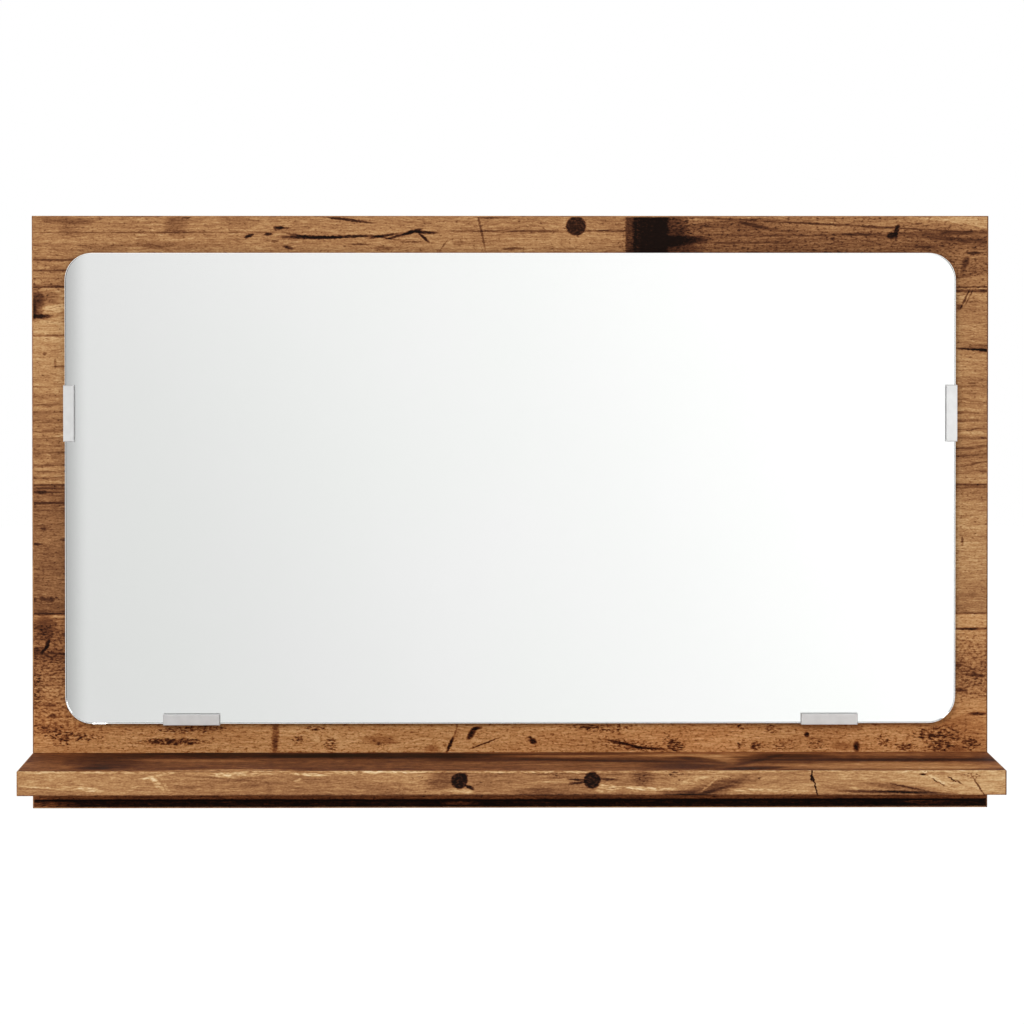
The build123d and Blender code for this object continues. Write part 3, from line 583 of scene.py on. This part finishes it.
FRONT_WORN = (
    (84.0, 7.0, 0.9, 3.6, -30.0, 0.8, 0.19),
    (87.0, 8.6, 0.8, 3.4, -30.0, 0.8, 0.17),
    (90.4, 9.4, 0.7, 3.0, -30.0, 0.8, 0.15),
    (82.0, 5.0, 4.0, 0.8, 10.0, 0.8, 0.15),
    (70.6, 10.4, 3.0, 0.7, -30.0, 0.8, 0.10),
    (45.0, 11.4, 5.0, 0.8, 6.0, 0.8, 0.26),
    (38.0, 9.8, 8.0, 0.6, 3.0, 0.8, 0.14),
    (14.0, 9.8, 10.0, 0.5, 3.0, 0.8, 0.20),
    (84.0, 3.0, 10.0, 0.5, -10.0, 0.8, 0.20),
    (144.0, 0.8, 16.0, 1.3, -3.0, 0.8, 0.26),
    (125.0, 2.8, 6.0, 0.8, 6.0, 0.8, 0.20),
    (178.0, 2.2, 8.0, 0.8, 4.0, 0.8, 0.34),
    (170.6, 5.2, 2.0, 0.6, -20.0, 0.8, 0.26),
    (210.0, 0.8, 22.0, 0.8, 0.0, 0.8, 0.28),
    (244.0, 0.8, 12.0, 0.6, 0.0, 0.8, 0.18),
    (40.0, 0.6, 44.0, 0.7, 0.0, 0.8, 0.18),
    (310.0, 0.8, 36.0, 0.5, 0.0, 0.8, 0.16),
    (440.0, 0.6, 160.0, 0.5, 0.0, 0.8, 0.12),
    (269.0, 12.2, 7.0, 1.0, 4.0, 0.8, 0.20),
    (357.0, 10.4, 4.6, 2.4, 0.0, 0.7, 0.26),
    (381.0, 10.8, 16.0, 0.9, 2.0, 0.8, 0.30),
    (328.0, 6.0, 12.0, 1.0, -4.0, 0.8, 0.12),
    (419.0, 9.0, 4.4, 0.5, -40.0, 0.8, 0.26),
    (409.0, 6.0, 8.0, 0.8, -14.0, 0.8, 0.14),
    (453.0, 12.0, 24.0, 0.7, 1.0, 0.8, 0.20),
    (520.0, 5.0, 20.0, 2.0, 6.0, 0.8, 0.10),
    (556.0, 4.4, 9.0, 0.6, 30.0, 0.8, 0.16),
)


def marks_sum(graph, place, marks):
    """All marks added up. A place ends in a 1, so that one dot product turns, shifts and scales it.

    Every link here joins sockets of one type: a conversion would keep all marks in memory at once.
    """
    total = None
    for right, down, half_length, half_height, turn, softness, amount in marks:
        cosine = math.cos(math.radians(turn))
        sine = math.sin(math.radians(turn))
        along = (cosine, sine, -cosine * right - sine * down)
        across = (-sine, cosine, sine * right - cosine * down)
        length = graph.vector("DOT_PRODUCT", place, [part / half_length for part in along])
        height = graph.vector("DOT_PRODUCT", place, [part / half_height for part in across])
        square = graph.math("MULTIPLY_ADD", height, height, graph.math("MULTIPLY", length, length))
        mark = graph.ramp(square, (1.0 + softness) ** 2, (1.0 - softness) ** 2, 0.0, amount)
        total = mark if total is None else graph.math("ADD", total, mark)
    return total


def decor(
    graph,
    right,
    down,
    seed,
    tone,
    patches=(),
    specks=(),
    mottles=(),
    burns=(),
    lines=(),
    worn=(),
    rings=(),
    coarse=1.0,
):
    """Old-plank wood at a place on a sheet: its tone, from 0 to 1, and its relief.

    Fibres run to the right, and coarse widens them.
    """
    sheet = graph.combine(right, down, 1.0)

    def layer(place, length, height, number, detail=1.0, roughness=0.55):
        place = graph.vector("MULTIPLY", place, (1 / length, 1 / height, seed + number))
        return graph.noise(place, detail, roughness)

    drift = graph.ramp(layer(sheet, 55.0, 16.0, 0.0), 0.0, 1.0, -4.0, 4.0, False)
    flutter = graph.ramp(layer(sheet, 8.0, 3.0, 1.3), 0.0, 1.0, -0.9, 0.9, False)
    bent = graph.add(down, drift, flutter)
    grain = graph.combine(right, bent, 1.0)
    fine = graph.ramp(layer(grain, 6.0, 0.75 * coarse, 3.1, 2.0, 0.6), 0.2, 0.8, -0.125, 0.125, False)
    streaks = graph.ramp(layer(grain, 26.0, 1.5 * coarse, 7.7, 2.0), 0.25, 0.75, -0.075, 0.075, False)
    relief = graph.add(fine, streaks)
    clouds = graph.ramp(layer(grain, 50.0, 14.0, 12.9), 0.3, 0.7, -0.03, 0.03, False)
    mottle = graph.ramp(layer(sheet, 1.5, 0.9, 31.0, 2.0), 0.2, 0.8, -0.085, 0.085, False)
    flecks = graph.ramp(layer(grain, 4.0, 0.8, 35.0), 0.66, 0.80, 0.0, 0.09)
    pores = graph.ramp(layer(grain, 6.0, 0.8, 37.0, 2.0), 0.60, 0.80, 0.0, -0.12)
    level = graph.add(tone, relief, clouds, mottle, flecks, pores)

    ragged = graph.node(
        "ShaderNodeTexNoise",
        {
            "Vector": graph.vector("MULTIPLY", sheet, (1 / 1.8, 1 / 1.2, seed)),
            "Detail": 1.0,
            "Scale": 1.0,
        },
    ).outputs["Color"]
    shake = graph.vector("MULTIPLY_ADD", ragged, (1.6, 1.1, 0.0), (-0.8, -0.55, 0.0))
    place = graph.vector("ADD", sheet, shake)
    if patches:
        level = graph.add(level, marks_sum(graph, place, patches))
    if worn:
        brushed = graph.ramp(layer(grain, 5.0, 1.0, 41.0), 0.3, 0.6)
        level = graph.add(level, graph.times(marks_sum(graph, place, worn), brushed))
    if rings:
        wave = graph.math("SINE", graph.math("MULTIPLY", bent, 2 * math.pi / 5.3))
        broken = graph.ramp(layer(grain, 14.0, 1.6, 47.0), 0.35, 0.65, 0.35, 1.0)
        ring = graph.times(graph.ramp(wave, 0.25, 0.95), broken)
        level = graph.add(level, graph.times(marks_sum(graph, place, rings), ring, -0.17))
    if mottles:
        scales = layer(sheet, 2.6, 1.4, 57.0, 2.0, 0.6)
        spread = marks_sum(graph, place, mottles)
        level = graph.add(level, graph.ramp(graph.add(scales, spread), 0.56, 0.76, 0.0, -0.22))

    grit = layer(grain, 2.8, 1.1, 21.0, 2.0, 0.62)
    gathered = graph.add(grit, marks_sum(graph, place, specks)) if specks else grit
    halo = graph.ramp(gathered, 0.67, 0.81, 0.0, 0.40)
    char = graph.add(halo, graph.ramp(gathered, 0.79, 0.89, 0.0, 0.36))
    if burns:
        curl = graph.ramp(layer(sheet, 2.0, 1.2, 61.0, 2.0), 0.34, 0.56, 0.70, 1.0)
        burn = graph.math("MINIMUM", graph.times(marks_sum(graph, place, burns), curl), 1.0)
        char = graph.math("MAXIMUM", char, burn)
    if lines:
        broken = graph.ramp(layer(grain, 10.0, 2.0, 53.0), 0.3, 0.55, 0.40, 1.0)
        char = graph.math("MAXIMUM", char, graph.times(marks_sum(graph, place, lines), broken))
    burnt = graph.ramp(grit, 0.3, 0.7, 0.14, 0.06, False)
    final = graph.node("ShaderNodeMix", {"Factor": char, "A": level, "B": burnt}, data_type="FLOAT")
    return final.outputs[0], relief


def printed_finish(graph, print_layers, chip=None, warmth=0.0):
    """The decor paper's matt finish. Chip is where the raw chipboard shows, and its colour."""
    tone, relief = print_layers
    colour = graph.mix(warmth, graph.colours(tone, DECOR_TONES), WARM_TINT, "MULTIPLY")
    roughness = graph.ramp(tone, 0.1, 0.8, 0.66, 0.78, False)
    if chip is not None:
        bare, chips = chip
        colour = graph.mix(bare, colour, chips)
    finish_material(
        graph,
        {
            "Base Color": colour,
            "Roughness": roughness,
            "Specular IOR Level": 0.05,
            "Normal": graph.bump(relief, 0.00012, 0.5),
        },
    )


def chipboard(graph, x, y, z):
    """Raw chipboard: pale chips of mixed size."""
    cells = graph.node(
        "ShaderNodeTexVoronoi",
        {"Vector": graph.shrunk((x, y, z), (2.2, 1.1, 1.4)), "Scale": 1.0},
    )
    chip_tone = graph.separate(cells.outputs["Color"])[0]
    stops = ((0.0, srgb(120, 88, 54)), (0.5, srgb(176, 140, 96)), (1.0, srgb(206, 176, 134)))
    return graph.colours(chip_tone, stops)


def between(graph, place, low, high):
    """1 deeper than the paper between two faces of a panel, and 0 on them."""
    return graph.times(
        graph.math("GREATER_THAN", place, low / MM + PAPER),
        graph.math("LESS_THAN", place, high / MM - PAPER),
    )


def board_material():
    material, graph = new_material("old_plank_board")
    x, y, z = graph.object_place()
    rear = graph.math("GREATER_THAN", y, (BOARD_LOW[1] + BOARD_HIGH[1]) / 2 / MM)
    right = graph.add(x, -BOARD_LEFT / MM, graph.times(rear, OTHER_SIDE))
    down = graph.math("SUBTRACT", BOARD_TOP / MM, z)
    step = graph.noise(graph.combine(graph.math("DIVIDE", right, 40.0), 0.0, 3.0), 1.0)
    edge = graph.add(down, graph.ramp(step, 0.0, 1.0, -0.5, 0.5, False))
    tone = BOARD_PLANKS[0][1]
    seams = 0.0
    for (end, before), (_, after) in zip(BOARD_PLANKS, BOARD_PLANKS[1:]):
        tone = graph.add(tone, graph.ramp(edge, end - 0.25, end + 0.25, 0.0, after - before))
        near = graph.math("ABSOLUTE", graph.math("SUBTRACT", edge, end))
        seams = graph.add(seams, graph.ramp(near, 0.9, 0.25, 0.0, 0.22))
    tone = graph.math("SUBTRACT", tone, seams)
    layers = decor(
        graph,
        right,
        down,
        5.0,
        tone,
        patches=BOARD_TONE_PATCHES,
        specks=BOARD_SPECK_FIELDS,
        mottles=BOARD_MOTTLE_FIELDS,
        burns=BOARD_BURNS,
        lines=BOARD_LINES,
        worn=BOARD_WORN,
        rings=RING_FIELDS,
    )
    inside = between(graph, y, BOARD_LOW[1], BOARD_HIGH[1])
    reddish = graph.ramp(down, 249.0, 250.6, 0.0, 0.40)
    warmth = graph.add(reddish, graph.ramp(down, 290.0, 322.0, 0.0, 0.55))
    printed_finish(graph, layers, (inside, chipboard(graph, x, y, z)), warmth)
    return material


def shelf_material():
    material, graph = new_material("old_plank_shelf")
    x, y, z = graph.object_place()
    under = graph.math("LESS_THAN", z, (SHELF_LOW[2] + SHELF_HIGH[2]) / 2 / MM)
    right = graph.add(x, -BOARD_LEFT / MM, graph.times(under, OTHER_SIDE))
    down = graph.math("SUBTRACT", SHELF_HIGH[1] / MM, y)  # from the back
    layers = decor(
        graph,
        right,
        down,
        80.0,
        0.42,
        patches=SHELF_TONE_PATCHES,
        burns=SHELF_BURNS,
        worn=SHELF_WORN,
        coarse=5.0,
    )
    inside = between(graph, z, SHELF_LOW[2], SHELF_HIGH[2])
    printed_finish(graph, layers, (inside, chipboard(graph, x, y, z)), 0.8)
    return material


def front_band_material():
    material, graph = new_material("old_plank_front_band")
    x, y, z = graph.object_place()
    right = graph.add(x, -BOARD_LEFT / MM)
    down = graph.math("SUBTRACT", SHELF_HIGH[2] / MM, z)
    layers = decor(
        graph,
        right,
        down,
        140.0,
        0.655,
        patches=FRONT_TONE_PATCHES,
        specks=FRONT_SPECK_FIELDS,
        burns=FRONT_BURNS,
        lines=FRONT_LINES,
        worn=FRONT_WORN,
    )
    printed_finish(graph, layers)
    return material


def end_band_material(name, axis, tone, seed):
    """A band whose grain runs along its long axis: 0 is x, 1 is y and 2 is z."""
    material, graph = new_material(name)
    place = list(graph.object_place())
    along = place.pop(axis)
    printed_finish(graph, decor(graph, along, graph.add(*place), seed, tone))
    return material


def mirror_glass_material():
    """Clear float glass."""
    material, graph = new_material("float_glass")
    x, y, z = graph.object_place()
    waves = graph.noise(graph.shrunk((x, y, z), (140.0, 140.0, 140.0)))
    finish_material(
        graph,
        {
            "Base Color": graph.colours(waves, ((0.3, srgb(254, 255, 254)), (0.7, srgb(255, 255, 255)))),
            "Roughness": 0.0,
            "IOR": 1.52,
            "Transmission Weight": 1.0,
        },
    )
    return material


def silvering_material():
    """Silver towards the glass, and grey backing paint on the edges and towards the board."""
    material, graph = new_material("silvering_and_paint")
    x, y, z = graph.object_place()
    low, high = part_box("mirror_coating")
    painted = graph.math("GREATER_THAN", y, (low[1] + SILVER_GAP) / MM + 0.01)
    speckle = graph.noise(graph.shrunk((x, y, z), (1.3, 1.3, 1.3)), 3.0, 0.7)
    paint = graph.colours(speckle, ((0.3, srgb(108, 112, 116)), (0.7, srgb(134, 138, 142))))
    finish_material(
        graph,
        {
            "Base Color": graph.mix(painted, SILVER, paint),
            "Metallic": graph.math("SUBTRACT", 1.0, painted),
            "Roughness": graph.ramp(painted, 0.0, 1.0, 0.0, 0.55, False),
        },
    )
    return material


def build_silvering():
    """The coating with a hair's gap to the glass, so that a ray meets one face at a time."""
    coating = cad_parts["mirror_coating"]
    low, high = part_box("mirror_coating")
    depth = high[1] - low[1]
    mesh = coating.data.copy()
    for vertex in mesh.vertices:
        vertex.co.y = high[1] - (high[1] - vertex.co.y) * (depth - SILVER_GAP) / depth
    mesh.materials.clear()
    mesh.materials.append(silvering_material())
    piece = bpy.data.objects.new("silvering_layer", mesh)
    bpy.context.scene.collection.objects.link(piece)
    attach(piece, "mirror_pane")
    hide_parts("mirror_coating")


def clip_material(name, tone):
    """Milky moulded plastic with a faint flow pattern. Tone is the clip's grey, which carries painted
    light and shade: lit and shaded copies of one plastic.
    """
    material, graph = new_material("milky_plastic_lit_and_shaded_" + name)
    x, y, z = graph.object_place()
    flow = graph.noise(graph.shrunk((x, y, z), (5.0, 3.0, 5.0)), 2.0, 0.5)
    stops = ((0.3, srgb(tone - 5, tone - 5, tone - 6)), (0.7, srgb(tone + 4, tone + 4, tone + 3)))
    finish_material(
        graph,
        {
            "Base Color": graph.colours(flow, stops),
            "Roughness": graph.ramp(flow, 0.2, 0.8, 0.30, 0.42, False),
            "Specular IOR Level": 0.4,
            "Subsurface Weight": 0.25,
            "Subsurface Radius": (0.002, 0.002, 0.002),
            "Subsurface Scale": 1.0,
            "Normal": graph.bump(flow, 0.00003, 0.6),
        },
    )
    return material


def metal_material(name, dark, light, roughness, grain, bump_height):
    """Plated metal: a mottled tone and fine marks.

    Grain is the marks' size along x, y and z, and bump_height is their height, both in millimetres.
    """
    material, graph = new_material(name)
    x, y, z = graph.object_place()
    marks = graph.noise(graph.shrunk((x, y, z), grain), 3.0, 0.6)
    finish_material(
        graph,
        {
            "Base Color": graph.colours(marks, ((0.3, srgb(*dark)), (0.7, srgb(*light)))),
            "Metallic": 1.0,
            "Roughness": graph.ramp(marks, 0.2, 0.8, roughness - 0.08, roughness + 0.1, False),
            "Normal": graph.bump(marks, bump_height * MM, 0.6),
        },
    )
    return material


def beech_material():
    material, graph = new_material("raw_beech")
    x, y, z = graph.object_place()
    flecks = graph.noise(graph.shrunk((x, y, z), (0.5, 7.0, 0.5)), 3.0, 0.6)
    finish_material(
        graph,
        {
            "Base Color": graph.colours(flecks, ((0.3, srgb(186, 142, 98)), (0.7, srgb(216, 178, 136)))),
            "Roughness": 0.7,
            "Normal": graph.bump(flecks, 0.00005, 0.6),
        },
    )
    return material


def dress(node, material):
    """Gives a CAD node its finish."""
    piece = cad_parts[node]
    piece.data.materials.clear()
    piece.data.materials.append(material)


def dress_all():
    dress("back_board", board_material())
    dress("shelf_board", shelf_material())
    dress("shelf_edge_band_front", front_band_material())
    level_band = end_band_material("old_plank_level_band", 0, 0.60, 200.0)
    for node in ("board_edge_band_top", "board_edge_band_bottom"):
        dress(node, level_band)
    # The right-hand bands get a darker tone than the left-hand ones: painted shade for the sides turned
    # away from the key light.
    dress("board_edge_band_left", end_band_material("old_plank_left_band", 2, 0.58, 230.0))
    dress("board_edge_band_right", end_band_material("old_plank_right_band_painted_shade", 2, 0.46, 260.0))
    dress("shelf_edge_band_left", end_band_material("old_plank_left_end", 1, 0.62, 290.0))
    dress("shelf_edge_band_right", end_band_material("old_plank_right_end_painted_shade", 1, 0.48, 320.0))
    dress("mirror_glass", mirror_glass_material())
    build_silvering()
    # The four clips are one plastic: their different greys are painted light and shade, not a difference
    # in the plastic.
    clip_tones_with_painted_light = {"left": 219, "right": 239, "bottom_left": 227, "bottom_right": 237}
    for clip, tone in clip_tones_with_painted_light.items():
        dress("mirror_clip_" + clip, clip_material(clip, tone))
    zinc = metal_material("die_cast_zinc", (150, 152, 156), (190, 192, 196), 0.42, (0.8, 0.8, 0.8), 0.04)
    steel = metal_material("plated_steel", (168, 168, 164), (212, 212, 208), 0.30, (0.6, 3.0, 0.6), 0.02)
    sheet = metal_material("plated_sheet", (164, 164, 160), (206, 206, 202), 0.34, (0.5, 0.5, 6.0), 0.02)
    beech = beech_material()
    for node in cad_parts:
        if node.startswith("cam_lock"):
            dress(node, zinc)
        elif node.startswith("cam_bolt") or "screw" in node:
            dress(node, steel)
        elif node.startswith("hanger_plate"):
            dress(node, sheet)
        elif node.startswith("dowel"):
            dress(node, beech)


def seen_plainly(graph):
    """1 for rays from the camera, a mirror or glass, and 0 for the light that falls on things."""
    path = graph.node("ShaderNodeLightPath").outputs
    mirrored = graph.math("MAXIMUM", path["Is Glossy Ray"], path["Is Transmission Ray"])
    return graph.math("MAXIMUM", path["Is Camera Ray"], mirrored)


def build_world():
    world = bpy.data.worlds.new("studio")
    bpy.context.scene.world = world
    world.use_nodes = True
    world.node_tree.nodes.clear()
    graph = Graph(world.node_tree)
    strength = graph.ramp(seen_plainly(graph), 0.0, 1.0, AMBIENT, 1.0, False)
    background = graph.node("ShaderNodeBackground", {"Color": WHITE, "Strength": strength})
    output = graph.node("ShaderNodeOutputWorld")
    graph.tree.links.new(background.outputs[0], output.inputs["Surface"])


def flat_piece(name, corners, material):
    mesh = bpy.data.meshes.new(name)
    mesh.from_pydata(corners, [], [tuple(range(len(corners)))])
    mesh.update()
    piece = bpy.data.objects.new(name, mesh)
    bpy.context.scene.collection.objects.link(piece)
    piece.data.materials.append(material)
    return piece


def floor_material():
    """White to the eye with a trace of shadow, and clear from below."""
    material, graph = new_material("pale_floor")
    x, y, z = graph.object_place()
    dust = graph.noise(graph.shrunk((x, y, z), (40.0, 40.0, 40.0)), 3.0)
    greys = graph.colours(dust, ((0.3, srgb(240, 240, 240)), (0.7, srgb(246, 246, 246))))
    lit = graph.node("ShaderNodeBsdfDiffuse", {"Color": greys})
    white = graph.node("ShaderNodeEmission", {"Color": WHITE, "Strength": FLOOR_GLOW})
    share = graph.times(seen_plainly(graph), FLOOR_WHITENESS)
    pale = graph.node("ShaderNodeMixShader", {"Fac": share})
    graph.tree.links.new(lit.outputs[0], pale.inputs[1])
    graph.tree.links.new(white.outputs[0], pale.inputs[2])
    clear = graph.node("ShaderNodeBsdfTransparent")
    from_below = graph.node("ShaderNodeNewGeometry").outputs["Backfacing"]
    both = graph.node("ShaderNodeMixShader", {"Fac": from_below})
    graph.tree.links.new(pale.outputs[0], both.inputs[1])
    graph.tree.links.new(clear.outputs[0], both.inputs[2])
    output = graph.node("ShaderNodeOutputMaterial")
    graph.tree.links.new(both.outputs[0], output.inputs["Surface"])
    return material


def build_floor():
    size = FLOOR_HALF_SIZE
    sides = ((-size, -size), (size, -size), (size, size), (-size, size))
    flat_piece("floor", [(x, y, FLOOR_HEIGHT) for x, y in sides], floor_material())


def card_material(spread):
    """Pale grey at the left, white at the right and above, and a darker strip at the left end.

    Spread is how much larger the card is than its reflection on the pane, seen from the camera's place.
    """
    material, graph = new_material("studio_card")
    x, y, z = graph.object_place()
    eye_x, eye_y, eye_z = CAMERA_PLACE
    pane_x = graph.add(graph.math("DIVIDE", graph.math("SUBTRACT", x, eye_x / MM), spread), eye_x / MM)
    pane_z = graph.add(graph.math("DIVIDE", graph.math("SUBTRACT", z, eye_z / MM), spread), eye_z / MM)
    slant = graph.add(pane_x, graph.math("MULTIPLY", pane_z, CARD_RISE))
    slope = graph.ramp(slant, CARD_GREY_FROM, CARD_GREY_TO, 0.0, 1.0, False)
    pale = graph.colours(slope, [(place, srgb(grey, grey, grey)) for place, grey in CARD_GREYS])
    strip = graph.ramp(pane_x, CARD_STRIP_FROM, CARD_STRIP_TO, CARD_STRIP_SHADE, 1.0)
    shade = graph.mix(1.0, pale, graph.combine(strip, strip, strip), "MULTIPLY")
    finish_material(graph, {"Color": shade, "Strength": CARD_GLOW}, "ShaderNodeEmission")
    return material


def build_card():
    """Stands where the pane shows it to the camera."""
    glass_low, glass_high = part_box("mirror_glass")
    eye_x, eye_y, eye_z = CAMERA_PLACE
    spread = 1 + (glass_low[1] - CARD_Y) / (glass_low[1] - eye_y)
    left = eye_x + (glass_low[0] - eye_x) * spread - CARD_SIDE_MARGIN
    right = eye_x + (glass_high[0] - eye_x) * spread + CARD_SIDE_MARGIN
    low = eye_z + (glass_low[2] - eye_z) * spread - CARD_LEVEL_MARGIN
    high = eye_z + (glass_high[2] - eye_z) * spread + CARD_LEVEL_MARGIN
    corners = [(left, CARD_Y, low), (right, CARD_Y, low), (right, CARD_Y, high), (left, CARD_Y, high)]
    card = flat_piece("card", corners, card_material(spread))
    card.visible_camera = False
    card.visible_diffuse = False
    card.visible_shadow = False


def add_lamp(name, place, size, power):
    lamp = bpy.data.lights.new(name, "AREA")
    lamp.shape = "SQUARE"
    lamp.size = size
    lamp.energy = power
    piece = bpy.data.objects.new(name, lamp)
    bpy.context.scene.collection.objects.link(piece)
    piece.location = place
    aim = Vector((0.0, 0.0, 0.0)) - Vector(place)
    piece.rotation_euler = aim.to_track_quat("-Z", "Y").to_euler()


def add_camera():
    camera = bpy.data.cameras.new("camera")
    camera.sensor_width = 36.0
    camera.lens = CAMERA_LENS
    camera.shift_y = CAMERA_SHIFT
    camera.clip_end = 60.0
    piece = bpy.data.objects.new("camera", camera)
    bpy.context.scene.collection.objects.link(piece)
    piece.location = CAMERA_PLACE
    piece.rotation_euler = (math.radians(90.0 - CAMERA_DIP), 0.0, -math.radians(CAMERA_TURN))
    bpy.context.scene.camera = piece


bpy.context.scene.view_settings.view_transform = "Standard"
add_camera()
build_world()
build_floor()
build_card()
add_lamp("key", KEY_PLACE, KEY_SIZE, KEY_POWER)
add_lamp("fill", FILL_PLACE, FILL_SIZE, FILL_POWER)
dress_all()
